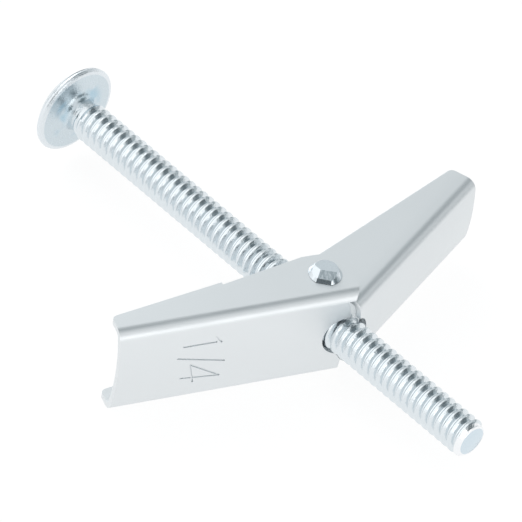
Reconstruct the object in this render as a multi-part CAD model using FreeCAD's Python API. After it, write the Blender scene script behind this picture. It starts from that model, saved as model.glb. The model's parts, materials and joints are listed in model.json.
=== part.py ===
"""Spring-wing toggle bolt for hollow walls, 1/4 in by 3 1/2 in, with its wings open.

Five pieces: a mushroom-head bolt, a trunnion nut that runs on its thread, two folded sheet
wings that hinge on the nut's journals, one nested inside the other, and the wire spring that
holds them open.

Frame, in millimetres: the origin is the centre of the flat face under the bolt's head, +X runs
along the bolt to its tip, and +Z is the trunnion axis. The outer wing lies on the -Y side and
the inner wing on the +Y side.

A wing is drawn in its own directions: u from the trunnion to the wing's end, v from the web
towards the free edges of the flanges, and z as in the frame. The trunnion is at u = v = 0.
"""
import FreeCAD, Part
import math
import os

Vec = FreeCAD.Vector
X_AXIS = Vec(1, 0, 0)
Y_AXIS = Vec(0, 1, 0)
Z_AXIS = Vec(0, 0, 1)

# Bolt
bolt_radius = 3.12          # over the thread's crests
bolt_length = 88.9          # under the head
head_radius = 7.38
head_rim = 1.0              # straight edge of the head
head_height = 3.9           # bearing face to the top of the dome
head_edge_round = 0.3       # rounded corner under the rim
slot_width = 1.5
slot_depth = 1.7
neck_radius = 2.8           # plain neck between head and thread
neck_flare = 1.3            # radius of the fillet where the neck meets the head
thread_start = 2.5          # distance under the head where the thread begins
thread_lead_in = 0.3
thread_pitch = 1.411
thread_depth = 0.6
thread_crest = 0.31         # flat on top of a crest
thread_root = 0.3           # flat at the bottom of a groove
tip_face_radius = 2.4
tip_chamfer = 0.7

# Trunnion nut
hinge_x = 55.27             # trunnion axis, measured from under the head
thread_play = 0.05          # radial clearance of bolt and nut
nut_wall = 0.93             # beside the threaded hole
nut_end_wall = 0.83         # above and below the threaded hole
journal_radius = 2.2
journal_play = 0.06         # radial clearance of a journal in its ears
rivet_radius = 2.58         # peened end of a journal
rivet_height = 1.1
rivet_flat = 0.95           # half width of the flat on top of a peened end
rivet_edge = 0.25           # height of the round edge under the six hammered faces
rivet_turn = -42.5          # direction of the first hammered face, degrees from +X
rivet_gap = 0.05            # between a peened end and the ear under it

# Wings
sheet = 0.9
bend_radius = 1.8           # outside of the folds
fold_share = 0.8            # share of a fold's width that the end cut of the outer web leaves
wing_reach = 34.7           # trunnion axis to the wing's end
end_hollow = 0.25           # how far the end of the web is hollowed
tip_corner_radius = 1.0     # at the end of a flange
outer_open = 111.2          # angle from the bolt's tip direction, open, degrees
inner_open = 106.4
outer_arch = 48.0           # radius of the slight arch across the web
inner_arch = 30.0
outer_tip_height = 3.3      # flange height at the wing's end
outer_lower_tip_height = 4.5
inner_tip_height = 5.05
outer_ear_radius = 4.3
outer_ear_straight = 2.3    # straight edge between the ear's round and its lower curve
outer_shoulder = 2.2        # where the free edge starts to slope, from the trunnion axis
inner_shoulder = 2.7
outer_web_past = 2.7        # how far the web runs past the trunnion axis, above the bolt
outer_fold_past = 2.1       # the same at the upper fold, and below the bolt
outer_tooth = 3.2           # from the bolt's axis to where the web's slanting upper end starts
notch_flat = 1.0            # how far past the axis the notch's lower corner is cut off
notch_flat_start = 3.4      # from the bolt's axis to the start and the end of that cut
notch_flat_end = 5.0
inner_web_past = 0.55
ear_gap = 0.25              # inner wing's ears to the outer wing's web
nut_gap = 0.1               # nut's barrel to the inner wing's ear line
web_gap = 0.15              # end of the outer web to the inner wing's web
side_gap = 0.75             # between the nested ears, along the trunnion
notch_side_play = 0.45      # beside the bolt, in the notch at the end of each web
outer_notch_play = 0.12     # before the bolt, in the outer web's notch
inner_notch_play = 0.45

# Spring
wire = 0.65                 # diameter
coil_play = 0.25            # coil around the journal, radial
coil_end_play = 0.045       # between coil, nut and ear, along the trunnion
turn_gap = 0.03             # between the two legs where they cross
leg_touch = 0.1             # between a leg and the web that it pushes
outer_leg_reach = 4.5       # where the legs push the outer web, from the trunnion axis
inner_leg_reach = 3.2       # where the bridge pushes the inner web
bridge_bend_radius = 0.8    # of the wire's centre line

# Worked out from the sizes above
nut_bore = bolt_radius + thread_play
nut_radius = nut_bore + nut_wall
nut_half = nut_bore + nut_end_wall
coil_radius = journal_radius + coil_play + wire / 2
inner_leg_z = nut_half + coil_end_play + wire / 2
outer_leg_z = inner_leg_z + wire + turn_gap
inner_half_width = outer_leg_z + wire / 2 + coil_end_play + sheet
outer_half_width = inner_half_width + side_gap + sheet
ear_hole = journal_radius + journal_play
inner_ear_radius = nut_radius + nut_gap


def arch_drop(arch, z):
    """How far an arched web has fallen back from its middle, at height z."""
    return arch - math.sqrt(arch * arch - z * z)


outer_web = inner_ear_radius + ear_gap + sheet + arch_drop(outer_arch, inner_half_width)
inner_web = math.hypot(outer_web, outer_web_past) + web_gap + sheet


def wing_frame(open_angle, side):
    """Unit vectors u and v of a wing that is open at an angle from +X; side is +1 or -1 for +Y or -Y."""
    a = math.radians(open_angle)
    u = Vec(math.cos(a), side * math.sin(a), 0)
    v = Vec(-math.sin(a), side * math.cos(a), 0)
    return u, v


def place_wing(shape, open_angle, side):
    """Turn a wing drawn with u along X and v along Y into its open place on the trunnion."""
    u, v = wing_frame(open_angle, side)
    turn = FreeCAD.Matrix(u.x, v.x, 0, hinge_x, u.y, v.y, 0, 0, 0, 0, 1, 0, 0, 0, 0, 1)
    if side > 0:
        placed = shape.copy()
        placed.transformShape(turn)
        return placed
    # the -Y wing's u, v and z are a left-handed set, so it is drawn upside down and turned over here
    flip = FreeCAD.Matrix(u.x, v.x, 0, hinge_x, u.y, v.y, 0, 0, 0, 0, -1, 0, 0, 0, 0, 1)
    placed = shape.copy()
    placed.transformShape(flip)
    return placed


def arc(a, b, c):
    return Part.Arc(a, b, c).toShape()


def line(a, b):
    return Part.makeLine(a, b)


def disc_between(x0, x1, radius):
    return Part.makeCylinder(radius, x1 - x0, Vec(x0, 0, 0), X_AXIS)


def thread_points():
    """Outline of the thread from its first crest to its last, each turn drawn as a plain ring."""
    flank = (thread_pitch - thread_crest - thread_root) / 2
    root_radius = bolt_radius - thread_depth
    first = thread_start + thread_lead_in
    turns = int((bolt_length - tip_chamfer - thread_crest - first) / thread_pitch)
    points = [Vec(first, bolt_radius, 0)]
    for turn in range(turns):
        crest_end = first + turn * thread_pitch + thread_crest
        points += [
            Vec(crest_end, bolt_radius, 0),
            Vec(crest_end + flank, root_radius, 0),
            Vec(crest_end + flank + thread_root, root_radius, 0),
            Vec(crest_end + 2 * flank + thread_root, bolt_radius, 0),
        ]
    points.append(Vec(bolt_length - tip_chamfer, bolt_radius, 0))
    return points


def make_bolt():
    """Turned and rolled bolt: the outline is spun about X, then the slot is cut in the dome."""
    rise = head_height - head_rim
    dome_radius = (head_radius ** 2 + rise ** 2) / (2 * rise)
    half = math.asin(head_radius / dome_radius) / 2
    centre = -head_height + dome_radius
    on_dome = Vec(centre - dome_radius * math.cos(half), dome_radius * math.sin(half), 0)
    e = head_edge_round
    k = math.sqrt(0.5)
    flare_start = Vec(0, neck_radius + neck_flare, 0)
    flare_mid = Vec(neck_flare * (1 - k), neck_radius + neck_flare * (1 - k), 0)
    flare_end = Vec(neck_flare, neck_radius, 0)
    points = [Vec(thread_start, neck_radius, 0)] + thread_points()
    points += [Vec(bolt_length, tip_face_radius, 0), Vec(bolt_length, 0, 0), Vec(-head_height, 0, 0)]
    rim_top = Vec(-head_rim, head_radius, 0)
    rim_low = Vec(-e, head_radius, 0)
    under = Vec(0, head_radius - e, 0)
    under_mid = Vec(-e * (1 - k), head_radius - e * (1 - k), 0)
    edges = [
        arc(points[-1], on_dome, rim_top),
        line(rim_top, rim_low),
        arc(rim_low, under_mid, under),
        line(under, flare_start),
        arc(flare_start, flare_mid, flare_end),
        line(flare_end, points[0]),
    ]
    edges += [line(a, b) for a, b in zip(points, points[1:])]
    outline = Part.Face(Part.Wire(edges))
    bolt = outline.revolve(Vec(0, 0, 0), X_AXIS, 360)
    slot_corner = Vec(-head_height, -head_radius, -slot_width / 2)
    slot = Part.makeBox(slot_depth, 2 * head_radius, slot_width, slot_corner)
    return bolt.cut(slot)


def hammered_end():
    """Peened end of a journal, standing on z = 0: a low cap with six hammered faces."""
    cap = Part.makeCylinder(rivet_radius, rivet_height)
    rings = []
    for z, apothem in ((rivet_edge, rivet_radius), (rivet_height, rivet_flat)):
        corner = apothem / math.cos(math.pi / 6)
        first = math.radians(rivet_turn) + math.pi / 6
        ring = [Vec(corner * math.cos(first + i * math.pi / 3), corner * math.sin(first + i * math.pi / 3), z)
                for i in range(6)]
        rings.append(Part.makePolygon(ring + ring[:1]))
    faces = Part.makeLoft(rings, True, True)
    foot = Part.makeCylinder(rivet_radius, rivet_edge)
    return cap.common(faces).fuse(foot).removeSplitter()


def make_nut():
    """Cross bar with a barrel around the threaded hole, a journal above and below, and peened ends."""
    top = outer_half_width + rivet_gap
    barrel = Part.makeCylinder(nut_radius, 2 * nut_half, Vec(0, 0, -nut_half))
    journal = Part.makeCylinder(journal_radius, 2 * top, Vec(0, 0, -top))
    upper = hammered_end()
    upper.translate(Vec(0, 0, top))
    lower = hammered_end().mirror(Vec(0, 0, 0), Z_AXIS)
    lower.translate(Vec(0, 0, -top))
    nut = barrel.fuse([journal, upper, lower])
    nut.translate(Vec(hinge_x, 0, 0))
    return nut.cut(disc_between(hinge_x - 2 * nut_radius, hinge_x + 2 * nut_radius, nut_bore))


def channel_section(web, half_width, arch, inset):
    """Half of the folded outline, from the middle of the web up, at u = 0: list of edges and its top end."""
    centre_v = -web + arch
    fold_z = half_width - bend_radius
    fold_v = centre_v - math.sqrt((arch - bend_radius) ** 2 - fold_z ** 2)
    tilt = math.atan2(fold_z, centre_v - fold_v)
    big = arch - inset
    small = bend_radius - inset

    def on_web(angle):
        return Vec(0, centre_v - big * math.cos(angle), big * math.sin(angle))

    def on_fold(angle):
        return Vec(0, fold_v - small * math.cos(angle), fold_z + small * math.sin(angle))

    web_arc = arc(on_web(0), on_web(tilt / 2), on_web(tilt))
    fold_arc = arc(on_fold(tilt), on_fold((tilt + math.pi / 2) / 2), on_fold(math.pi / 2))
    return [web_arc, fold_arc], on_fold(math.pi / 2)


def channel(web, half_width, arch):
    """Folded strip, its walls running far past the wing's outline on every free side."""
    wall_top = 2 * web
    outside, outside_end = channel_section(web, half_width, arch, 0)
    inside, inside_end = channel_section(web, half_width, arch, sheet)
    far_out = Vec(0, wall_top, outside_end.z)
    far_in = Vec(0, wall_top, inside_end.z)
    edges = outside + [line(outside_end, far_out), line(far_out, far_in), line(far_in, inside_end)]
    edges += inside + [line(Vec(0, -web, 0), Vec(0, -web + sheet, 0))]
    half = Part.Face(Part.Wire(Part.__sortEdges__(edges)))
    start = -2 * web
    strip = half.extrude(Vec(wing_reach - start, 0, 0))
    strip.translate(Vec(start, 0, 0))
    return strip.fuse(strip.mirror(Vec(0, 0, 0), Z_AXIS)).removeSplitter()


def side_outline(web, tip_height, ear_radius, shoulder, hinge_end):
    """Outline of a wing seen along the trunnion, as a prism; hinge_end closes it past the ear's round."""
    low = Vec(wing_reach, -2 * web, 0)
    corner = Vec(wing_reach, -web + tip_height, 0)
    shoulder_point = Vec(shoulder, ear_radius, 0)
    slope = shoulder_point.sub(corner)
    slope.normalize()
    turn = math.acos(slope.dot(Vec(0, 1, 0)))
    back = tip_corner_radius * math.tan(turn / 2)
    before = corner.add(Vec(0, -back, 0))
    after = corner.add(Vec(slope.x * back, slope.y * back, 0))
    centre = before.add(Vec(-tip_corner_radius, 0, 0))
    to_corner = corner.sub(centre)
    to_corner.normalize()
    middle = centre.add(Vec(to_corner.x * tip_corner_radius, to_corner.y * tip_corner_radius, 0))
    top = Vec(0, ear_radius, 0)
    edges = [line(low, before), arc(before, middle, after), line(after, shoulder_point)]
    edges += [line(shoulder_point, top)] + hinge_end(top, ear_radius, low)
    height = 4 * outer_half_width
    prism = Part.Face(Part.Wire(edges)).extrude(Vec(0, 0, height))
    prism.translate(Vec(0, 0, -height / 2))
    return prism


def outer_hinge_end(top, ear_radius, low):
    """Round ear, a short straight edge, then a curve that runs into the end of the web."""
    k = ear_radius * math.sqrt(0.5)
    side = Vec(-ear_radius, 0, 0)
    straight_end = Vec(-ear_radius, -outer_ear_straight, 0)
    web_end = Vec(-outer_web_past, -outer_web, 0)
    du = web_end.x - straight_end.x
    dv = web_end.y - straight_end.y
    radius = (du * du + dv * dv) / (2 * du)
    centre = straight_end.add(Vec(radius, 0, 0))
    half = math.asin(-dv / radius) / 2
    middle = centre.add(Vec(-radius * math.cos(half), -radius * math.sin(half), 0))
    below = Vec(-outer_web_past, low.y, 0)
    return [
        arc(top, Vec(-k, k, 0), side),
        line(side, straight_end),
        arc(straight_end, middle, web_end),
        line(web_end, below),
        line(below, low),
    ]


def plain_hinge_end(web_past):
    """Round ear whose edge drops straight to the end of the web."""

    def edges(top, ear_radius, low):
        foot = Vec(-web_past, -math.sqrt(ear_radius ** 2 - web_past ** 2), 0)
        below = Vec(-web_past, low.y, 0)
        return [arc(top, Vec(-ear_radius, 0, 0), foot), line(foot, below), line(below, low)]

    return edges


def notch(web, open_angle, play):
    """Round notch that lets the bolt through the end of the web when the wing is open."""
    a = math.radians(180 - open_angle)
    deepest = (bolt_radius - (web - sheet) * math.cos(a)) / math.sin(a) + play
    radius = bolt_radius + notch_side_play
    centre = deepest - radius
    low = -2 * web
    round_end = Part.makeCylinder(radius, -low, Vec(centre, low, 0), Y_AXIS)
    return round_end.fuse(Part.makeBox(-low, -low, 2 * radius, Vec(centre + low, low, -radius)))


def make_wing(web, half_width, arch, outline, open_angle, play):
    """Folded strip, cut to its outline, with its notch, hollow end and ear holes."""
    wing = channel(web, half_width, arch).common(outline)
    wing = wing.cut(notch(web, open_angle, play))
    chord = half_width - bend_radius
    hollow_radius = (chord ** 2 + end_hollow ** 2) / (2 * end_hollow)
    hollow_centre = Vec(wing_reach - end_hollow + hollow_radius, -2 * web, 0)
    hollow = Part.makeCylinder(hollow_radius, 2 * web - journal_radius, hollow_centre, Y_AXIS)
    wing = wing.cut(hollow)
    hole = Part.makeCylinder(ear_hole, 4 * half_width, Vec(0, 0, -2 * half_width))
    return wing.cut(hole)


def through_web(corners):
    """Prism through the outer web from corners given as (u, z); the wing is drawn upside down."""
    low = -2 * outer_web
    points = [Vec(u, low, -z) for u, z in corners]
    face = Part.Face(Part.makePolygon(points + points[:1]))
    return face.extrude(Vec(0, -low - journal_radius, 0))


def make_outer_wing():
    """The wider wing, whose ears lie outside. Its upper and lower flanges differ at both ends."""
    height = 4 * outer_half_width
    upper = side_outline(outer_web, outer_tip_height, outer_ear_radius, outer_shoulder, outer_hinge_end)
    lower_end = plain_hinge_end(outer_fold_past)
    lower = side_outline(outer_web, outer_lower_tip_height, outer_ear_radius, outer_shoulder, lower_end)
    half = Part.makeBox(height, height, height, Vec(-height / 2, -height / 2, -height))
    outline = upper.common(half).fuse(lower.cut(half)).removeSplitter()
    wing = make_wing(outer_web, outer_half_width, outer_arch, outline, outer_open, outer_notch_play)
    far = -2 * outer_web
    fold = outer_half_width - fold_share * bend_radius
    upper_cut = through_web([(-outer_web_past, outer_tooth), (-outer_fold_past, fold),
                             (far, fold), (far, outer_tooth)])
    lower_cut = through_web([(-notch_flat, -notch_flat_start), (-outer_fold_past, -notch_flat_end),
                             (far, -notch_flat_end), (far, -notch_flat_start)])
    return place_wing(wing.cut([upper_cut, lower_cut]), outer_open, -1)


def make_inner_wing():
    """The narrower wing, nested between the outer wing's ears."""
    hinge_end = plain_hinge_end(inner_web_past)
    outline = side_outline(inner_web, inner_tip_height, inner_ear_radius, inner_shoulder, hinge_end)
    wing = make_wing(inner_web, inner_half_width, inner_arch, outline, inner_open, inner_notch_play)
    return place_wing(wing, inner_open, 1)


def touch_point(web, arch, leg_z, reach, open_angle, side):
    """Where the wire's centre line is when a leg lies against the inside of a web."""
    u, v = wing_frame(open_angle, side)
    depth = web - arch_drop(arch, leg_z) - sheet - leg_touch - wire / 2
    return Vec(u.x * reach - v.x * depth, u.y * reach - v.y * depth, 0)


def coil_angle(point, sign):
    """Angle on the coil where a straight leg to a point leaves it."""
    return math.atan2(point.y, point.x) + sign * math.acos(coil_radius / math.hypot(point.x, point.y))


def on_coil(angle, z):
    return Vec(coil_radius * math.cos(angle), coil_radius * math.sin(angle), z)


def wire_section(centre, direction):
    return Part.Wire(Part.makeCircle(wire / 2, centre, direction))


def make_spring():
    """Double torsion spring: a coil on each journal, a bridge on the inner web, two legs on the outer web."""
    bridge = touch_point(inner_web, inner_arch, inner_leg_z, inner_leg_reach, inner_open, 1)
    foot = touch_point(outer_web, outer_arch, outer_leg_z, outer_leg_reach, outer_open, -1)
    start = coil_angle(bridge, -1)
    end = coil_angle(foot, 1) - 2 * math.pi
    rise = outer_leg_z - inner_leg_z
    low = Vec(bridge.x, bridge.y, inner_leg_z)
    leaves = on_coil(start, inner_leg_z)
    ends = on_coil(end, outer_leg_z)
    inward = leaves.sub(low)
    inward.normalize()
    middle = Vec(bridge.x, bridge.y, 0)
    bend_start = Vec(bridge.x, bridge.y, inner_leg_z - bridge_bend_radius)
    bend_end = low.add(Vec(inward.x * bridge_bend_radius, inward.y * bridge_bend_radius, 0))
    k = 1 - math.sqrt(0.5)
    short = bridge_bend_radius * k
    bend_mid = low.add(Vec(inward.x * short, inward.y * short, -short))
    bridge_path = Part.Wire([
        line(middle, bend_start),
        arc(bend_start, bend_mid, bend_end),
        line(bend_end, leaves),
    ])
    bridge_leg = bridge_path.makePipeShell([wire_section(middle, Z_AXIS)], True, False)
    turn = start - end
    helix = Part.makeHelix(2 * math.pi * rise / turn, rise, coil_radius, 0, True)
    helix.rotate(Vec(0, 0, 0), Z_AXIS, math.degrees(start))
    helix.translate(Vec(0, 0, inner_leg_z))
    tangent = Vec(math.sin(start), -math.cos(start), 0)
    coil = Part.Wire(helix).makePipeShell([wire_section(leaves, tangent)], True, True)
    leg = Vec(foot.x, foot.y, outer_leg_z).sub(ends)
    upper = bridge_leg.fuse([coil, Part.makeCylinder(wire / 2, leg.Length, ends, leg)])
    spring = upper.fuse(upper.mirror(Vec(0, 0, 0), Z_AXIS)).removeSplitter()
    spring.translate(Vec(hinge_x, 0, 0))
    return spring


def main():
    os.makedirs("parts", exist_ok=True)
    pieces = {
        "bolt": make_bolt(),
        "trunnion_nut": make_nut(),
        "outer_wing": make_outer_wing(),
        "inner_wing": make_inner_wing(),
        "spring": make_spring(),
    }
    for name, shape in pieces.items():
        solids = shape.Solids
        whole = solids[0] if len(solids) == 1 else Part.makeCompound(solids)
        whole.exportStep("parts/" + name + ".step")
        print(f"{name}: {len(solids)} solid, valid {whole.isValid()}, {whole.Volume:.1f} mm3")


main()
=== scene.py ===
"""Spring-wing toggle bolt, zinc plated, lying with its wings open on a pale floor.

Lengths are in millimetres until new_piece turns them into metres.
"""
import json
import math

import bmesh
import bpy
from mathutils import Matrix, Vector


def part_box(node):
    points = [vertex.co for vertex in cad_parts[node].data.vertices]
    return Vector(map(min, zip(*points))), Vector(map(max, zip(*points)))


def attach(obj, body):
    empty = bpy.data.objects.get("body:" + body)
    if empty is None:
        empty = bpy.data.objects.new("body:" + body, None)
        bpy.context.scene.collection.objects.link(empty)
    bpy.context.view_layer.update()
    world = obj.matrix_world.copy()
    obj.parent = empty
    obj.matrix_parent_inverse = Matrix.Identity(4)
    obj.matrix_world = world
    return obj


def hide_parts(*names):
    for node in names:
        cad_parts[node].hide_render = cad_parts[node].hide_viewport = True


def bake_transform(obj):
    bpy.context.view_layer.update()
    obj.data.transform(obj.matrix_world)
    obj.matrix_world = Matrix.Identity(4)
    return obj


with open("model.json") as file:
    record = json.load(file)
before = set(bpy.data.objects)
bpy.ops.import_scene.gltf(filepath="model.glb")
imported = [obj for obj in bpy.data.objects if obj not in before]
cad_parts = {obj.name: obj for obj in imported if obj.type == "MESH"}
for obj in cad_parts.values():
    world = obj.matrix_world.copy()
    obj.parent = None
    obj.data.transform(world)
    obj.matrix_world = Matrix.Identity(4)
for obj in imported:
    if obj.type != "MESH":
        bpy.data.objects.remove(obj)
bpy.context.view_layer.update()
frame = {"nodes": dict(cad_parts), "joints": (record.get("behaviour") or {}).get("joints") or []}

# Bolt
# A machine bolt of cold-headed steel wire: a low domed head with a driving slot, a short neck,
# and a thread rolled over the whole shank, then plated with bright zinc.
MM = 0.001
MERGE = 0.002
SMOOTH_ANGLE = 35.0
SPIN_STEPS = 96
HEAD_RADIUS = 7.38
HEAD_RIM = 1.0
HEAD_HEIGHT = 3.87
DOME_INSET = 0.12
DOME_STEPS = 14
SLOT_WIDTH = 1.5
SLOT_DEPTH = 1.7
RIM_CURL = 0.45
RIM_ARC = (140, 25)
RIM_INNER = 6.7
RIM_HOLD = 0.15
CURL_STEPS = 8
NECK_RADIUS = 2.72
NECK_FLARE = 1.35
NECK_TAPER = 0.12
NECK_IN_THREAD = 1.2
NECK_POINT = 1.6
THREAD_CREST = 3.12
THREAD_ROOT = 2.50
THREAD_PITCH = 1.411
THREAD_CREST_FLAT = 0.30
THREAD_ROOT_FLAT = 0.18
THREAD_CREST_ROUND = 0.09
THREAD_FROM = 1.7
THREAD_RUN_IN = 1.6
THREAD_RUN_DEPTH = 0.25
THREAD_STEPS = 40
THREAD_SMOOTH = 40.0
BOLT_LENGTH = 88.9
TIP_FACE = 2.3
TIP_SHOULDER = 2.62
TIP_ROUND = 0.12
TIP_CHAMFER = 0.7
# Painted light on the bolt: the head's darker colour is painted shade, and its bluish patches by the
# neck are painted reflection; the rim and the tip's chamfer are painted highlights, and the flat
# end's bluer colour is painted reflection.
SHADED_HEAD_COLOUR = "#D3DEE4"
NECK_REFLECTION_COLOUR = "#B4CEDC"
RIM_HIGHLIGHT_COLOUR = "#E6ECF0"
SHANK_COLOUR = "#E0E7EB"
END_FACE_REFLECTION_COLOUR = "#D4E1E9"
CHAMFER_HIGHLIGHT_COLOUR = "#F6F8FA"
SHADED_HEAD_END = 1.5
SHADED_HEAD_FADE = 1.2
NECK_REFLECTION_INNER = 3.6
NECK_REFLECTION_OUTER = 5.6
HEAD_DULL = 0.12
RIM_HIGHLIGHT_BLEND = 0.1
CHAMFER_BLEND = 0.05
FACE_BLEND = 0.02
CLOUD_SIZE = 3.4
CLOUD_DETAIL = 1.0
CLOUD_EDGES = (0.42, 0.62)
# The plate's own grain is finer than a pixel, so it is drawn this coarse.
GRAIN_SIZE = 0.6
GRAIN_DETAIL = 3.0
GRAIN_ROUGHNESS = 0.6
GRAIN_BUMP = 0.9
GRAIN_DEPTH = 0.06
BOLT_ROUGHNESS = (0.10, 0.24)


def new_piece(name, bm, material, smooth_angle=SMOOTH_ANGLE):
    """Turns a bmesh in millimetres into a piece in metres, smooth but for its sharp edges."""
    bmesh.ops.scale(bm, vec=(MM, MM, MM), verts=bm.verts)
    mesh = bpy.data.meshes.new(name)
    bm.to_mesh(mesh)
    bm.free()
    piece = bpy.data.objects.new(name, mesh)
    bpy.context.collection.objects.link(piece)
    mesh.materials.append(material)
    mesh.shade_smooth()
    mesh.set_sharp_from_angle(angle=math.radians(smooth_angle))
    return piece


def whole(bm):
    """All of a mesh's vertices, edges and faces."""
    return bm.verts[:] + bm.edges[:] + bm.faces[:]


def only(geom, kind):
    """Those of a mesh operator's results that are of one kind."""
    return [g for g in geom if isinstance(g, kind)]


def trim(bm, point, normal):
    """Cuts a mesh off at a plane, on the side that its normal points to."""
    bmesh.ops.bisect_plane(bm, geom=whole(bm), plane_co=point, plane_no=normal, clear_outer=True)


def close_holes(bm):
    """Fills every open rim of a mesh with a face."""
    bmesh.ops.holes_fill(bm, edges=[e for e in bm.edges if e.is_boundary], sides=0)


def spun(bm, outline, steps, climb=0.0):
    """Spins an open outline of (x, radius) points once around the X axis, climbing along it."""
    verts = [bm.verts.new((x, 0.0, r)) for x, r in outline]
    edges = [bm.edges.new(pair) for pair in zip(verts, verts[1:])]
    bmesh.ops.spin(bm, geom=verts + edges, cent=(0, 0, 0), axis=(1, 0, 0), angle=math.tau,
                   dvec=(climb / steps, 0, 0), steps=steps, use_merge=not climb)


def arc_points(centre, radius, start, end, count):
    """Points on an arc in the outline's plane; angles in degrees from +x towards the radius."""
    points = []
    for i in range(count + 1):
        a = math.radians(start + (end - start) * i / count)
        points.append((centre[0] + radius * math.cos(a), centre[1] + radius * math.sin(a)))
    return points


def linear(hex_colour):
    """sRGB hex colour as linear red, green, blue and alpha."""
    values = [int(hex_colour[i:i + 2], 16) / 255 for i in (1, 3, 5)]
    low_or_high = [v / 12.92 if v <= 0.04045 else ((v + 0.055) / 1.055) ** 2.4 for v in values]
    return (*low_or_high, 1.0)


def add_node(tree, kind, settings=None, inputs=None, links=None):
    """Adds a node, sets its properties and inputs, and links its inputs from other outputs."""
    node = tree.nodes.new(kind)
    for name, value in (settings or {}).items():
        setattr(node, name, value)
    for name, value in (inputs or {}).items():
        node.inputs[name].default_value = value
    for name, socket in (links or {}).items():
        tree.links.new(socket, node.inputs[name])
    return node


def new_material(name):
    """A material with only a shader and its output; returns it, its tree and its shader."""
    material = bpy.data.materials.new(name)
    material.use_nodes = True
    tree = material.node_tree
    tree.nodes.clear()
    output = tree.nodes.new("ShaderNodeOutputMaterial")
    shader = tree.nodes.new("ShaderNodeBsdfPrincipled")
    tree.links.new(shader.outputs[0], output.inputs["Surface"])
    return material, tree, shader


def dome(radius, height, rim, steps):
    """Outline of the head's dome, from its middle to its rim."""
    rise = height - rim
    ball = (radius ** 2 + rise ** 2) / (2 * rise)
    edge = math.degrees(math.asin(radius / ball))
    return arc_points((-height + ball, 0), ball, 180, 180 - edge, steps)


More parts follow.
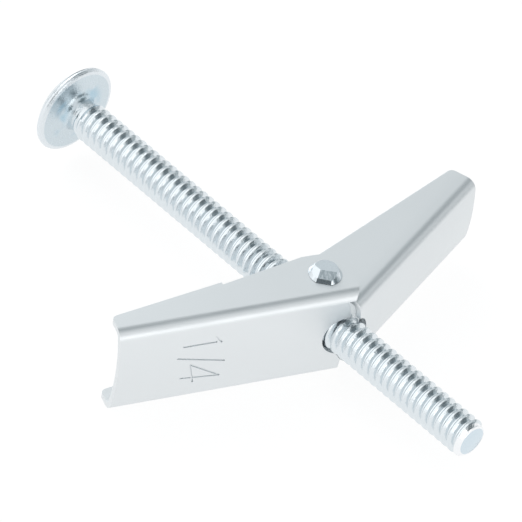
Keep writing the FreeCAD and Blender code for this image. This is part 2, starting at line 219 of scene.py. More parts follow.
def bright_zinc():
    """Bright zinc plate: a clear mirror over a fine grain, duller on the head. The head is painted
    darker as shade, with bluish patches of painted reflection in the corner between neck and head;
    the head's rim and the chamfer at the bolt's end are painted brighter as highlights, and its flat
    end is painted bluer as a reflection."""
    material, tree, shader = new_material("bright_zinc_plate")
    place = add_node(tree, "ShaderNodeTexCoord").outputs["Object"]
    along = add_node(tree, "ShaderNodeSeparateXYZ", links={0: place})
    # The head, up to the neck, gets the darker painted shade and a duller finish.
    under_head = add_node(tree, "ShaderNodeMapRange",
                          inputs={"From Min": SHADED_HEAD_END * MM,
                                  "From Max": (SHADED_HEAD_END - SHADED_HEAD_FADE) * MM},
                          links={"Value": along.outputs["X"]})
    flat = add_node(tree, "ShaderNodeVectorMath", {"operation": "MULTIPLY"},
                    {1: (0, 1, 1)}, {0: place})
    radius = add_node(tree, "ShaderNodeVectorMath", {"operation": "LENGTH"},
                      links={0: flat.outputs[0]})
    corner = add_node(tree, "ShaderNodeMapRange", {"interpolation_type": "SMOOTHSTEP"},
                      {"From Min": NECK_REFLECTION_OUTER * MM, "From Max": NECK_REFLECTION_INNER * MM},
                      {"Value": radius.outputs["Value"]})
    clouds = add_node(tree, "ShaderNodeTexNoise",
                      inputs={"Scale": 1 / (CLOUD_SIZE * MM), "Detail": CLOUD_DETAIL},
                      links={"Vector": place})
    patches = add_node(tree, "ShaderNodeMapRange", {"interpolation_type": "SMOOTHSTEP"},
                       {"From Min": CLOUD_EDGES[0], "From Max": CLOUD_EDGES[1]},
                       {"Value": clouds.outputs[0]})
    # Bluish patches in the corner between neck and head: a painted reflection.
    blue = add_node(tree, "ShaderNodeMath", {"operation": "MULTIPLY"},
                    links={0: corner.outputs["Result"], 1: patches.outputs["Result"]})
    neck_reflection = add_node(tree, "ShaderNodeMix", {"data_type": "RGBA"},
                    {6: linear(SHADED_HEAD_COLOUR), 7: linear(NECK_REFLECTION_COLOUR)}, {"Factor": blue.outputs[0]})
    # A brighter band round the head's rim: a painted highlight.
    rim_highlight = add_node(tree, "ShaderNodeMapRange",
                    inputs={"From Min": (RIM_INNER - RIM_HIGHLIGHT_BLEND) * MM, "From Max": RIM_INNER * MM},
                    links={"Value": radius.outputs["Value"]})
    plate = add_node(tree, "ShaderNodeMix", {"data_type": "RGBA"}, {7: linear(RIM_HIGHLIGHT_COLOUR)},
                     {"Factor": rim_highlight.outputs["Result"], 6: neck_reflection.outputs[2]})
    # The chamfer at the tip is painted brighter as a highlight, and the flat end bluer as a painted
    # reflection.
    at_end = add_node(tree, "ShaderNodeMapRange",
                      inputs={"From Min": (BOLT_LENGTH - TIP_CHAMFER) * MM,
                              "From Max": (BOLT_LENGTH - TIP_CHAMFER + CHAMFER_BLEND) * MM},
                      links={"Value": along.outputs["X"]})
    turned = add_node(tree, "ShaderNodeMapRange",
                      inputs={"From Min": (TIP_FACE - FACE_BLEND) * MM,
                              "From Max": (TIP_FACE + FACE_BLEND) * MM},
                      links={"Value": radius.outputs["Value"]})
    end = add_node(tree, "ShaderNodeMix", {"data_type": "RGBA"},
                   {6: linear(END_FACE_REFLECTION_COLOUR), 7: linear(CHAMFER_HIGHLIGHT_COLOUR)},
                   {"Factor": turned.outputs["Result"]})
    shank = add_node(tree, "ShaderNodeMix", {"data_type": "RGBA"}, {6: linear(SHANK_COLOUR)},
                     {"Factor": at_end.outputs["Result"], 7: end.outputs[2]})
    colour = add_node(tree, "ShaderNodeMix", {"data_type": "RGBA"},
                      links={"Factor": under_head.outputs["Result"],
                             6: shank.outputs[2], 7: plate.outputs[2]})
    grain = add_node(tree, "ShaderNodeTexNoise",
                     inputs={"Scale": 1 / (GRAIN_SIZE * MM), "Detail": GRAIN_DETAIL,
                             "Roughness": GRAIN_ROUGHNESS},
                     links={"Vector": place})
    rough = add_node(tree, "ShaderNodeMapRange",
                     inputs={"To Min": BOLT_ROUGHNESS[0], "To Max": BOLT_ROUGHNESS[1]},
                     links={"Value": grain.outputs[0]})
    duller = add_node(tree, "ShaderNodeMath", {"operation": "MULTIPLY_ADD"}, {1: HEAD_DULL},
                      {0: under_head.outputs["Result"], 2: rough.outputs["Result"]})
    bump = add_node(tree, "ShaderNodeBump",
                    inputs={"Strength": GRAIN_BUMP, "Distance": GRAIN_DEPTH * MM},
                    links={"Height": grain.outputs[0]})
    tree.links.new(colour.outputs[2], shader.inputs["Base Color"])
    tree.links.new(duller.outputs[0], shader.inputs["Roughness"])
    tree.links.new(bump.outputs[0], shader.inputs["Normal"])
    shader.inputs["Metallic"].default_value = 1.0
    return material


def thread_limit(x):
    """Greatest radius at x: the run-in behind the head, the chamfer and the end's rounded edge."""
    low = NECK_RADIUS - THREAD_RUN_DEPTH
    run_in = low + (x - THREAD_FROM) / THREAD_RUN_IN * (THREAD_CREST - low)
    left = BOLT_LENGTH - x
    face_edge = TIP_FACE + left / TIP_ROUND * (TIP_SHOULDER - TIP_FACE)
    rise = (THREAD_CREST - TIP_SHOULDER) / (TIP_CHAMFER - TIP_ROUND)
    chamfer = TIP_SHOULDER + (left - TIP_ROUND) * rise
    return min(THREAD_CREST, run_in, chamfer, face_edge)


def make_thread(bm):
    """One turn of the thread's outline, repeated along the shank, trimmed and closed at its ends."""
    flank = (THREAD_PITCH - THREAD_CREST_FLAT - THREAD_ROOT_FLAT) / 2
    start = THREAD_FROM - THREAD_PITCH
    outline = [
        (0.0, THREAD_CREST),
        (THREAD_CREST_FLAT, THREAD_CREST),
        (THREAD_CREST_FLAT + THREAD_CREST_ROUND, THREAD_CREST - THREAD_CREST_ROUND),
        (THREAD_CREST_FLAT + flank, THREAD_ROOT),
        (THREAD_CREST_FLAT + flank + THREAD_ROOT_FLAT, THREAD_ROOT),
        (THREAD_PITCH - THREAD_CREST_ROUND, THREAD_CREST - THREAD_CREST_ROUND),
        (THREAD_PITCH, THREAD_CREST),
    ]
    spun(bm, [(start + x, r) for x, r in outline], THREAD_STEPS, THREAD_PITCH)
    turns = 1
    while start + turns * THREAD_PITCH < BOLT_LENGTH:
        more = only(bmesh.ops.duplicate(bm, geom=whole(bm))["geom"], bmesh.types.BMVert)
        bmesh.ops.translate(bm, vec=(turns * THREAD_PITCH, 0, 0), verts=more)
        turns *= 2
    bmesh.ops.remove_doubles(bm, verts=bm.verts, dist=MERGE)
    trim(bm, (THREAD_FROM, 0, 0), (-1, 0, 0))
    trim(bm, (BOLT_LENGTH, 0, 0), (1, 0, 0))
    for left in (TIP_ROUND, TIP_CHAMFER):
        bmesh.ops.bisect_plane(bm, geom=whole(bm), plane_co=(BOLT_LENGTH - left, 0, 0),
                               plane_no=(1, 0, 0))
    for v in bm.verts:
        radius = math.hypot(v.co.y, v.co.z)
        limit = thread_limit(v.co.x)
        if radius > limit:
            v.co.y *= limit / radius
            v.co.z *= limit / radius
    close_holes(bm)


def cut(piece, cutter, smooth_angle):
    """Cuts a piece, its modifiers applied, with another, which is used up."""
    tool = piece.modifiers.new("cut", "BOOLEAN")
    tool.operation = "DIFFERENCE"
    tool.solver = "EXACT"
    tool.use_self = True
    tool.object = cutter
    result = piece.evaluated_get(bpy.context.evaluated_depsgraph_get())
    done = bpy.data.meshes.new_from_object(result)
    if "custom_normal" in done.attributes:
        done.attributes.remove(done.attributes["custom_normal"])
    done.shade_smooth()
    done.set_sharp_from_angle(angle=math.radians(smooth_angle))
    piece.modifiers.clear()
    old = piece.data
    piece.data = done
    flats = piece.modifiers.new("flat_faces", "WEIGHTED_NORMAL")
    flats.keep_sharp = True
    bpy.data.meshes.remove(old)
    bpy.data.objects.remove(cutter)


def make_head(material):
    """The head and its neck, which ends inside the thread; the slot runs right across the dome."""
    bm = bmesh.new()
    curl = (RIM_CURL - HEAD_RIM, HEAD_RADIUS - RIM_CURL)
    flare = (NECK_FLARE, NECK_RADIUS + NECK_FLARE)
    outline = dome(HEAD_RADIUS - DOME_INSET, HEAD_HEIGHT, HEAD_RIM, DOME_STEPS)
    outline += arc_points(curl, RIM_CURL, *RIM_ARC, CURL_STEPS)
    outline += [(0.0, RIM_INNER), (0.0, RIM_INNER - RIM_HOLD)]
    outline += arc_points(flare, NECK_FLARE, 180, 270, CURL_STEPS)
    outline += [(THREAD_FROM + NECK_IN_THREAD, NECK_RADIUS - NECK_TAPER)]
    outline += [(THREAD_FROM + NECK_POINT, 0.0)]
    spun(bm, outline, SPIN_STEPS)
    bmesh.ops.remove_doubles(bm, verts=bm.verts, dist=MERGE)
    bmesh.ops.recalc_face_normals(bm, faces=bm.faces)
    head = new_piece("head", bm, material)
    bm = bmesh.new()
    size = Matrix.Diagonal((2 * SLOT_DEPTH, 3 * HEAD_RADIUS, SLOT_WIDTH, 1))
    bmesh.ops.create_cube(bm, size=1, matrix=Matrix.Translation((-HEAD_HEIGHT, 0, 0)) @ size)
    cut(head, new_piece("slot", bm, material), SMOOTH_ANGLE)
    return head


def make_bolt():
    """The thread and the head as one piece."""
    zinc = bright_zinc()
    head = make_head(zinc)
    bm = bmesh.new()
    make_thread(bm)
    head.data.transform(Matrix.Scale(1 / MM, 4))
    bm.from_mesh(head.data)
    bpy.data.objects.remove(head)
    bmesh.ops.recalc_face_normals(bm, faces=bm.faces)
    return new_piece("threaded_bolt", bm, zinc, THREAD_SMOOTH)


bolt = make_bolt()
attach(bolt, "bolt")
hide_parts("bolt")

# Trunnion nut
# A short cross bar of steel: a barrel threaded for the bolt, and a journal above and below it that
# passes through the wings' ears. Each journal's end is hammered over into a low faceted head.
HINGE = Vector(next(j["pos_m"] for j in frame["joints"] if j["name"] == "outer_wing_fold")) / MM
FRAME_MERGE = 0.001
FRAME_FLAT = 0.5
EDGE_ANGLE = 30.0
EDGE_SEGMENTS = 3
NUT_EDGE = 0.1
NUT_SMOOTH = 12.0
PEEN_HEIGHT = 1.1
PEEN_RADIUS = 2.58
PEEN_GAP = 0.05
PEEN_SINK = 3 * PEEN_GAP
PEEN_SIDES = 64
PEEN_TAPER = 0.72
PEEN_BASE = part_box("trunnion_nut")[1][2] / MM - PEEN_HEIGHT
# A point on each hammered face of the upper end, and the way that the face looks.
PEEN_BLOWS = (
    ((-0.25, -0.93, 1.1), (0.245, -0.262, 0.933)),
    ((-0.25, -0.93, 1.1), (0.0, -0.402, 0.915)),
    ((1.86, 0.64, 0.86), (0.596, 0.218, 0.773)),
    ((1.51, -1.74, 0.0), (0.544, -0.626, 0.559)),
)
LOWER_TURN = 50.0
NUT_COLOUR = "#DDE5EA"
NUT_ROUGHNESS = 0.2
DENT_SIZE = 1.3
DENT_DETAIL = 2.0
DENT_BUMP = 0.35
DENT_DEPTH = 0.12


def from_frame(node):
    """A merged copy of a node's mesh in millimetres, with its flat faces whole again."""
    bm = bmesh.new()
    bm.from_mesh(frame["nodes"][node].data)
    bmesh.ops.scale(bm, vec=(1 / MM, 1 / MM, 1 / MM), verts=bm.verts)
    bmesh.ops.remove_doubles(bm, verts=bm.verts, dist=FRAME_MERGE)
    bmesh.ops.dissolve_limit(bm, angle_limit=math.radians(FRAME_FLAT), verts=bm.verts,
                             edges=bm.edges)
    return bm


def soften_edges(piece, width, angle=EDGE_ANGLE):
    """Rounds a piece's sharp edges by a width in millimetres."""
    bevel = piece.modifiers.new("worn_edges", "BEVEL")
    bevel.width = width * MM
    bevel.segments = EDGE_SEGMENTS
    bevel.limit_method = "ANGLE"
    bevel.angle_limit = math.radians(angle)
    bevel.harden_normals = True
    bevel.use_clamp_overlap = True


def hammered_zinc():
    """Zinc plate over a hammered steel end: brighter than the sheet, with small dents."""
    material, tree, shader = new_material("hammered_zinc_plate")
    place = add_node(tree, "ShaderNodeTexCoord").outputs["Object"]
    dents = add_node(tree, "ShaderNodeTexNoise",
                     inputs={"Scale": 1 / (DENT_SIZE * MM), "Detail": DENT_DETAIL},
                     links={"Vector": place})
    bump = add_node(tree, "ShaderNodeBump",
                    inputs={"Strength": DENT_BUMP, "Distance": DENT_DEPTH * MM},
                    links={"Height": dents.outputs[0]})
    tree.links.new(bump.outputs[0], shader.inputs["Normal"])
    shader.inputs["Base Color"].default_value = linear(NUT_COLOUR)
    shader.inputs["Metallic"].default_value = 1.0
    shader.inputs["Roughness"].default_value = NUT_ROUGHNESS
    return material


def hammered_end(side, turn):
    """The spread end of a journal: a steep round rim and the flat faces that the hammer left."""
    bm = bmesh.new()
    bmesh.ops.create_cone(bm, cap_ends=True, segments=PEEN_SIDES, radius1=PEEN_RADIUS,
                          radius2=PEEN_RADIUS * PEEN_TAPER, depth=PEEN_HEIGHT,
                          matrix=Matrix.Translation((0, 0, PEEN_HEIGHT / 2)))
    for point, normal in PEEN_BLOWS:
        trim(bm, point, normal)
        close_holes(bm)
    turned = Matrix.Rotation(math.radians(turn), 3, "Z")
    bmesh.ops.rotate(bm, cent=(0, 0, 0), matrix=turned, verts=bm.verts)
    bmesh.ops.scale(bm, vec=(1, 1, side), verts=bm.verts)
    bmesh.ops.translate(bm, vec=HINGE + Vector((0, 0, side * PEEN_BASE)), verts=bm.verts)
    mesh = bpy.data.meshes.new("end")
    bm.to_mesh(mesh)
    bm.free()
    return mesh


def make_nut():
    """The bar's own two ends are cut off just under the ears' outsides, and hammered ones put on."""
    bm = from_frame("trunnion_nut")
    for side in (1, -1):
        trim(bm, (0, 0, side * (PEEN_BASE - PEEN_GAP / 2)), (0, 0, side))
        rim = [e for e in bm.edges if e.is_boundary]
        neck = only(bmesh.ops.extrude_edge_only(bm, edges=rim)["geom"], bmesh.types.BMVert)
        bmesh.ops.translate(bm, vec=(0, 0, side * PEEN_SINK), verts=neck)
        close_holes(bm)
    bm.from_mesh(hammered_end(1, 0.0))
    bm.from_mesh(hammered_end(-1, LOWER_TURN))
    bmesh.ops.recalc_face_normals(bm, faces=bm.faces)
    nut = new_piece("hammered_trunnion", bm, hammered_zinc(), NUT_SMOOTH)
    soften_edges(nut, NUT_EDGE, NUT_SMOOTH)
    return nut


nut = make_nut()
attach(nut, "nut")
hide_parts("trunnion_nut")

# Outer wing
# Steel sheet, blanked, folded into a channel and zinc plated, with a satin surface. The thread size
# is stamped into the outside of its web, its figures' tops towards the trunnion.
OUTER_OPEN = 111.2
OUTER_WEB = 5.77
OUTER_ARCH = 48.0
SHEET_EDGE = 0.2
SHEET_SMOOTH = 30.0
STROKE_WIDTH = 0.26
STROKE_DEPTH = 0.22
# Both ends of each stroke: how far along the web from the trunnion, and how high.
SIZE_STROKES = (
    ((24.41, 3.45), (18.97, 3.43)),
    ((19.20, 4.54), (18.19, 3.18)),
    ((25.14, 1.36), (17.29, -0.62)),
    ((22.93, -0.31), (17.72, -3.65)),
    ((22.93, -0.31), (21.95, -4.29)),
    ((24.19, -2.95), (17.72, -3.65)),
)
SHEET_COLOUR = "#E6EAEC"
SHEET_ROUGHNESS = (0.38, 0.47)
SHEET_CLOUDS = 9.0
SHEET_CLOUD_DETAIL = 2.0
# The rolled sheet's own grain is finer than a pixel, so it is drawn this coarse.
SHEET_GRAIN = 0.4
SHEET_GRAIN_DETAIL = 3.0
SHEET_BUMP = 0.12
SHEET_DEPTH = 0.02


def outer_axes():
    """Unit vectors from the trunnion to the outer wing's end, and from its web to its open side."""
    a = math.radians(OUTER_OPEN)
    return Vector((math.cos(a), -math.sin(a), 0)), Vector((-math.sin(a), -math.cos(a), 0))


def on_outer_web(u, z):
    """A point on the outer face of the outer wing's web."""
    along, inward = outer_axes()
    fall = OUTER_ARCH - math.sqrt(OUTER_ARCH ** 2 - z ** 2)
    return HINGE + along * u - inward * (OUTER_WEB - fall) + Vector((0, 0, z))


def size_stamp(material):
    """Square bars along the strokes of the stamped size, sunk into the web."""
    bm = bmesh.new()
    inward = outer_axes()[1]
    for ends in SIZE_STROKES:
        a, b = [on_outer_web(u, z) for u, z in ends]
        along = (b - a).normalized()
        across = inward.cross(along).normalized()
        turn = Matrix((along, across, along.cross(across))).transposed().to_4x4()
        size = Matrix.Diagonal(((b - a).length, STROKE_WIDTH, 2 * STROKE_DEPTH, 1))
        bmesh.ops.create_cube(bm, size=1, matrix=Matrix.Translation((a + b) / 2) @ turn @ size)
    return new_piece("stamp", bm, material)


def satin_zinc():
    """Zinc-plated sheet: a soft satin in faint patches, over the fine grain of rolled steel."""
    material, tree, shader = new_material("satin_zinc_sheet")
    place = add_node(tree, "ShaderNodeTexCoord").outputs["Object"]
    clouds = add_node(tree, "ShaderNodeTexNoise",
                      inputs={"Scale": 1 / (SHEET_CLOUDS * MM), "Detail": SHEET_CLOUD_DETAIL},
                      links={"Vector": place})
    grain = add_node(tree, "ShaderNodeTexNoise",
                     inputs={"Scale": 1 / (SHEET_GRAIN * MM), "Detail": SHEET_GRAIN_DETAIL},
                     links={"Vector": place})
    rough = add_node(tree, "ShaderNodeMapRange",
                     inputs={"To Min": SHEET_ROUGHNESS[0], "To Max": SHEET_ROUGHNESS[1]},
                     links={"Value": clouds.outputs[0]})
    bump = add_node(tree, "ShaderNodeBump",
                    inputs={"Strength": SHEET_BUMP, "Distance": SHEET_DEPTH * MM},
                    links={"Height": grain.outputs[0]})
    tree.links.new(rough.outputs["Result"], shader.inputs["Roughness"])
    tree.links.new(bump.outputs[0], shader.inputs["Normal"])
    shader.inputs["Base Color"].default_value = linear(SHEET_COLOUR)
    shader.inputs["Metallic"].default_value = 1.0
    return material


def make_outer_wing(material):
    """The wing; its edges are softened before the stamp is cut, so that the strokes stay crisp."""
    wing = new_piece("stamped_outer_wing", from_frame("outer_wing"), material, SHEET_SMOOTH)
    soften_edges(wing, SHEET_EDGE)
    cut(wing, size_stamp(material), SHEET_SMOOTH)
    return wing


zinc_sheet = satin_zinc()
outer_wing = make_outer_wing(zinc_sheet)
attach(outer_wing, "outer_wing")
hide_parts("outer_wing")

# Inner wing
# The same plated sheet, folded narrower, so that its ears lie inside the outer wing's ears. It
# turns on the same journals, and carries no stamp.
inner_wing = new_piece("plain_inner_wing", from_frame("inner_wing"), zinc_sheet, SHEET_SMOOTH)
soften_edges(inner_wing, SHEET_EDGE)
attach(inner_wing, "inner_wing")
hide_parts("inner_wing")

# Spring
# One length of drawn spring wire: a coil round each journal, a bridge that pushes the inner wing's
# web, and two straight ends that push the outer wing's web. It is made here in two parts that meet
# in the middle of each coil.
WIRE_RADIUS = 0.325
WIRE_SIDES = 12
WIRE_SMOOTH = 50.0
WIRE_MERGE = 0.001
MIRROR_ZONE = 0.01
COIL_RADIUS = 2.775
COIL_STEPS = 20
INNER_LEG_Z = 4.37
OUTER_LEG_Z = 5.05
BRIDGE = Vector((4.64, 4.70))
BRIDGE_BEND = 0.8
BEND_STEPS = 8
FOOT = Vector((2.27, -5.71))
COIL_CENTRE = Vector((0, 0, 0))
UP = Vector((0, 0, 1))
WIRE_COLOUR = "#AEB4B8"
WIRE_ROUGHNESS = (0.24, 0.4)
# The die's own marks are finer than a pixel, so they are drawn this coarse.
WIRE_MARKS = 0.3
WIRE_DETAIL = 2.0


def coil_angle(point, sign):
    """Angle on the coil where a straight leg to a point leaves it."""
    return math.atan2(point.y, point.x) + sign * math.acos(COIL_RADIUS / point.length)


def wire_end(bm, place, direction):
    """A round section of the wire at a place, facing a direction; returns its edges."""
    turn = direction.to_track_quat("Z", "Y").to_matrix().to_4x4()
    made = bmesh.ops.create_circle(bm, cap_ends=False, segments=WIRE_SIDES, radius=WIRE_RADIUS,
                                   matrix=Matrix.Translation(place) @ turn)
    return list({e for v in made["verts"] for e in v.link_edges})


def draw_straight(bm, edges, move):
    """Draws the wire's open end straight on by a vector; returns the new end's edges."""
    made = bmesh.ops.extrude_edge_only(bm, edges=edges)["geom"]
    bmesh.ops.translate(bm, vec=move, verts=only(made, bmesh.types.BMVert))
    return only(made, bmesh.types.BMEdge)


def draw_round(bm, edges, centre, axis, angle, steps, rise=Vector((0, 0, 0))):
    """Bends the wire's open end round an axis, climbing by a vector; returns the new end's edges."""
    geom = edges + list({v for e in edges for v in e.verts})
    made = bmesh.ops.spin(bm, geom=geom, cent=centre, axis=axis, angle=angle, dvec=rise / steps,
                          steps=steps)
    return only(made["geom_last"], bmesh.types.BMEdge)


def drawn_wire():
    """Drawn spring steel wire, plated: darker and glossier than the sheet, with faint die marks."""
    material, tree, shader = new_material("drawn_spring_wire")
    place = add_node(tree, "ShaderNodeTexCoord").outputs["Object"]
    marks = add_node(tree, "ShaderNodeTexNoise",
                     inputs={"Scale": 1 / (WIRE_MARKS * MM), "Detail": WIRE_DETAIL},
                     links={"Vector": place})
    rough = add_node(tree, "ShaderNodeMapRange",
                     inputs={"To Min": WIRE_ROUGHNESS[0], "To Max": WIRE_ROUGHNESS[1]},
                     links={"Value": marks.outputs[0]})
    tree.links.new(rough.outputs["Result"], shader.inputs["Roughness"])
    shader.inputs["Base Color"].default_value = linear(WIRE_COLOUR)
    shader.inputs["Metallic"].default_value = 1.0
    return material


def finish_wire(name, bm, material):
    """Closes the wire's ends, adds the same wire below the bolt and places it on the trunnion."""
    ends = [e for e in bm.edges if e.is_boundary and abs(e.verts[0].co.z) > MIRROR_ZONE]
    bmesh.ops.holes_fill(bm, edges=ends, sides=0)
    bmesh.ops.mirror(bm, geom=whole(bm), axis="Z", merge_dist=WIRE_MERGE)
    bmesh.ops.recalc_face_normals(bm, faces=bm.faces)
    bmesh.ops.translate(bm, vec=HINGE, verts=bm.verts)
    return new_piece(name, bm, material, WIRE_SMOOTH)


def make_bridge(material, start, middle):
    """From the middle of the coil back to the inner wing's leg, its bend and the bridge."""
    bm = bmesh.new()
    leave = Vector((COIL_RADIUS * math.cos(start), COIL_RADIUS * math.sin(start), INNER_LEG_Z))
    low = Vector((BRIDGE.x, BRIDGE.y, INNER_LEG_Z))
    out = (low - leave).normalized()
    first = wire_end(bm, leave, out)
    end = draw_straight(bm, first, out * ((low - leave).length - BRIDGE_BEND))
    centre = low - out * BRIDGE_BEND - UP * BRIDGE_BEND
    end = draw_round(bm, end, centre, out.cross(UP), -math.pi / 2, BEND_STEPS)
    draw_straight(bm, end, UP * (BRIDGE_BEND - INNER_LEG_Z))
    rise = UP * (OUTER_LEG_Z - INNER_LEG_Z) / 2
    draw_round(bm, first, COIL_CENTRE, UP, middle - start, COIL_STEPS, rise)
    return finish_wire("spring_bridge", bm, material)


def make_legs(material, end, middle):
    """From the middle of the coil to the straight end that pushes the outer wing."""
    bm = bmesh.new()
    leave = Vector((COIL_RADIUS * math.cos(end), COIL_RADIUS * math.sin(end), OUTER_LEG_Z))
    foot = Vector((FOOT.x, FOOT.y, OUTER_LEG_Z))
    first = wire_end(bm, leave, foot - leave)
    draw_straight(bm, first, foot - leave)
    fall = UP * (INNER_LEG_Z - OUTER_LEG_Z) / 2
    draw_round(bm, first, COIL_CENTRE, UP, middle - end, COIL_STEPS, fall)
    return finish_wire("spring_legs", bm, material)


wire = drawn_wire()
coil_start = coil_angle(BRIDGE, -1)
coil_end = coil_angle(FOOT, 1) - math.tau
coil_middle = (coil_start + coil_end) / 2
spring_bridge = make_bridge(wire, coil_start, coil_middle)
spring_legs = make_legs(wire, coil_end, coil_middle)
for part, wing, toward in ((spring_bridge, "inner_wing", BRIDGE), (spring_legs, "outer_wing", FOOT)):
    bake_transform(part)
    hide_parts("spring")

# Studio
# A white paper floor under the object, and round it a tent of white cloth with darker openings and
# brighter parts, which the metal mirrors as its bands. One soft lamp stands at its side.
AIM = Vector((43.79, -1.67, 2.69)) * MM
CAMERA_BACK = Vector((0.4853, -0.5632, 0.6688)).normalized()
CAMERA_UP = Vector((-0.5611, 0.3861, 0.7322))
CAMERA_DISTANCE = 941.2 * MM
CAMERA_NEAR = 10 * MM
CAMERA_FAR = 20000 * MM
LENS = 430.6
SENSOR = 36.0
LAMP_SIDE = Vector((-0.85, 0.2, 0.5))
LAMP_DISTANCE = 600 * MM
LAMP_SIZE = 350 * MM
LAMP_POWER = 0.6
WHITE = "#FFFFFF"
FLOOR_COLOUR = "#F8F8F8"
FLOOR_ROUGHNESS = 0.9
FLOOR_REACH = 4000.0
FLOOR_HEIGHT = -9.2
FLOOR_GLOW = 0.85
FLOOR_WHITE = 1.06
TENT_LOW = 1.08
TENT_HIGH = 0.85
TENT_SHADE = "#DEF6FF"
# Each area's direction, its reach along x, y and z, and the share of the light left in it.
TENT_AREAS = (
    ((0.08, 0.47, 1.0), (0.36, 0.44, 2.0), 0.26),
    ((0.74, 0.54, 0.34), (0.26, 0.40, 0.34), 0.18),
    ((0.83, 0.34, 0.43), (0.09, 0.08, 0.09), 2.4),
    ((0.22, 0.83, 0.42), (0.26, 0.50, 0.26), 0.82),
    ((0.47, 0.88, 0.06), (0.24, 0.22, 0.16), 0.40),
    ((-0.49, 1.0, 0.04), (0.40, 0.50, 0.32), 0.38),
    ((-0.49, 0.60, 0.65), (0.45, 0.40, 0.45), 0.82),
    ((-0.92, -0.22, 0.35), (0.25, 0.30, 0.25), 0.30),
    ((-0.52, -0.25, 0.60), (0.32, 0.75, 0.75), 1.40),
    ((0.90, -0.03, 0.42), (0.25, 0.18, 0.32), 1.35),
    ((0.98, -0.02, 0.14), (0.30, 0.34, 0.17), 1.7),
    ((0.54, -0.68, 0.44), (0.34, 0.32, 0.30), 0.12),
)
AREA_EDGE = (0.75, 1.1)


def make_camera():
    """A long lens and a square frame, aimed at the middle of the object."""
    data = bpy.data.cameras.new("camera")
    data.lens = LENS
    data.sensor_width = SENSOR
    data.sensor_height = SENSOR
    data.sensor_fit = "AUTO"
    data.clip_start = CAMERA_NEAR
    data.clip_end = CAMERA_FAR
    camera = bpy.data.objects.new("camera", data)
    bpy.context.collection.objects.link(camera)
    right = CAMERA_UP.cross(CAMERA_BACK).normalized()
    up = CAMERA_BACK.cross(right)
    turn = Matrix((right, up, CAMERA_BACK)).transposed().to_4x4()
    camera.matrix_world = Matrix.Translation(AIM + CAMERA_BACK * CAMERA_DISTANCE) @ turn
    bpy.context.scene.camera = camera


def make_lamp():
    """A square soft lamp beside the object, facing it."""
    data = bpy.data.lights.new("side_lamp", "AREA")
    data.size = LAMP_SIZE
    data.energy = LAMP_POWER
    lamp = bpy.data.objects.new("side_lamp", data)
    bpy.context.collection.objects.link(lamp)
    lamp.location = AIM + LAMP_SIDE.normalized() * LAMP_DISTANCE
    lamp.rotation_euler = LAMP_SIDE.to_track_quat("Z", "Y").to_euler()


def white_floor():
    """White paper that looks white to the camera and in the metal, and keeps a soft shadow."""
    material, tree, shader = new_material("white_floor_paper")
    shader.inputs["Base Color"].default_value = linear(FLOOR_COLOUR)
    shader.inputs["Roughness"].default_value = FLOOR_ROUGHNESS
    rays = add_node(tree, "ShaderNodeLightPath")
    seen = add_node(tree, "ShaderNodeMath", {"operation": "MAXIMUM"},
                    links={0: rays.outputs["Is Camera Ray"], 1: rays.outputs["Is Glossy Ray"]})
    seen = add_node(tree, "ShaderNodeMath", {"operation": "MAXIMUM"},
                    links={0: seen.outputs[0], 1: rays.outputs["Is Transmission Ray"]})
    share = add_node(tree, "ShaderNodeMath", {"operation": "MULTIPLY"},
                     {1: FLOOR_GLOW}, {0: seen.outputs[0]})
    glow = add_node(tree, "ShaderNodeEmission",
                    inputs={"Color": linear(WHITE), "Strength": FLOOR_WHITE})
    mix = add_node(tree, "ShaderNodeMixShader",
                   links={0: share.outputs[0], 1: shader.outputs[0], 2: glow.outputs[0]})
    output = next(n for n in tree.nodes if n.type == "OUTPUT_MATERIAL")
    tree.links.new(mix.outputs[0], output.inputs["Surface"])
    return material


def make_floor():
    """A wide sheet of paper under the wings."""
    bm = bmesh.new()
    bmesh.ops.create_grid(bm, x_segments=1, y_segments=1, size=FLOOR_REACH)
    bmesh.ops.translate(bm, vec=(0, 0, FLOOR_HEIGHT), verts=bm.verts)
    floor = new_piece("floor", bm, white_floor())


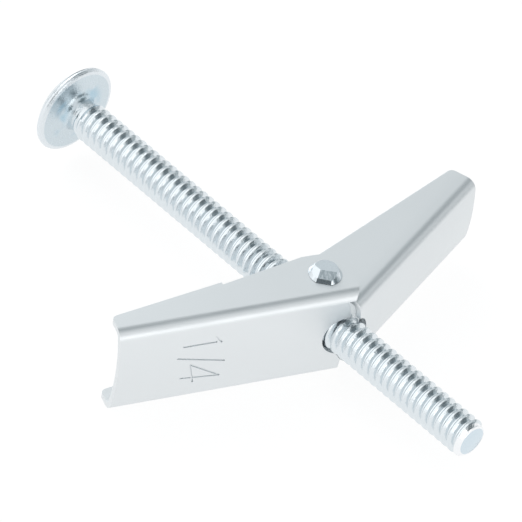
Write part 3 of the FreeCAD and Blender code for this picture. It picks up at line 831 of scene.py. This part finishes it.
def make_world():
    """The tent, cooler in tone where it is darker; the camera itself sees plain white."""
    world = bpy.data.worlds.new("studio_tent")
    bpy.context.scene.world = world
    world.use_nodes = True
    tree = world.node_tree
    tree.nodes.clear()
    place = add_node(tree, "ShaderNodeTexCoord").outputs["Generated"]
    parts = add_node(tree, "ShaderNodeSeparateXYZ", links={0: place})
    level = add_node(tree, "ShaderNodeMapRange", inputs={"To Min": TENT_LOW, "To Max": TENT_HIGH},
                     links={"Value": parts.outputs["Z"]}).outputs["Result"]
    for centre, reach, share_left in TENT_AREAS:
        away = add_node(tree, "ShaderNodeVectorMath", {"operation": "SUBTRACT"},
                        {1: centre}, {0: place})
        share = add_node(tree, "ShaderNodeVectorMath", {"operation": "DIVIDE"},
                         {1: reach}, {0: away.outputs[0]})
        distance = add_node(tree, "ShaderNodeVectorMath", {"operation": "LENGTH"},
                            links={0: share.outputs[0]})
        keep = add_node(tree, "ShaderNodeMapRange", {"interpolation_type": "SMOOTHSTEP"},
                        {"From Min": AREA_EDGE[0], "From Max": AREA_EDGE[1],
                         "To Min": share_left, "To Max": 1.0},
                        {"Value": distance.outputs["Value"]})
        level = add_node(tree, "ShaderNodeMath", {"operation": "MULTIPLY"},
                         links={0: level, 1: keep.outputs["Result"]}).outputs[0]
    rays = add_node(tree, "ShaderNodeLightPath")
    shade = add_node(tree, "ShaderNodeMix", {"data_type": "RGBA"},
                     {6: linear(TENT_SHADE), 7: linear(WHITE)}, {"Factor": level})
    tent = add_node(tree, "ShaderNodeBackground",
                    links={"Strength": level, "Color": shade.outputs[2]})
    white = add_node(tree, "ShaderNodeBackground", inputs={"Color": linear(WHITE), "Strength": 1.0})
    mix = add_node(tree, "ShaderNodeMixShader",
                   links={0: rays.outputs["Is Camera Ray"], 1: tent.outputs[0], 2: white.outputs[0]})
    add_node(tree, "ShaderNodeOutputWorld", links={"Surface": mix.outputs[0]})


make_camera()
make_floor()
make_world()
make_lamp()
bpy.context.scene.view_settings.view_transform = "Standard"
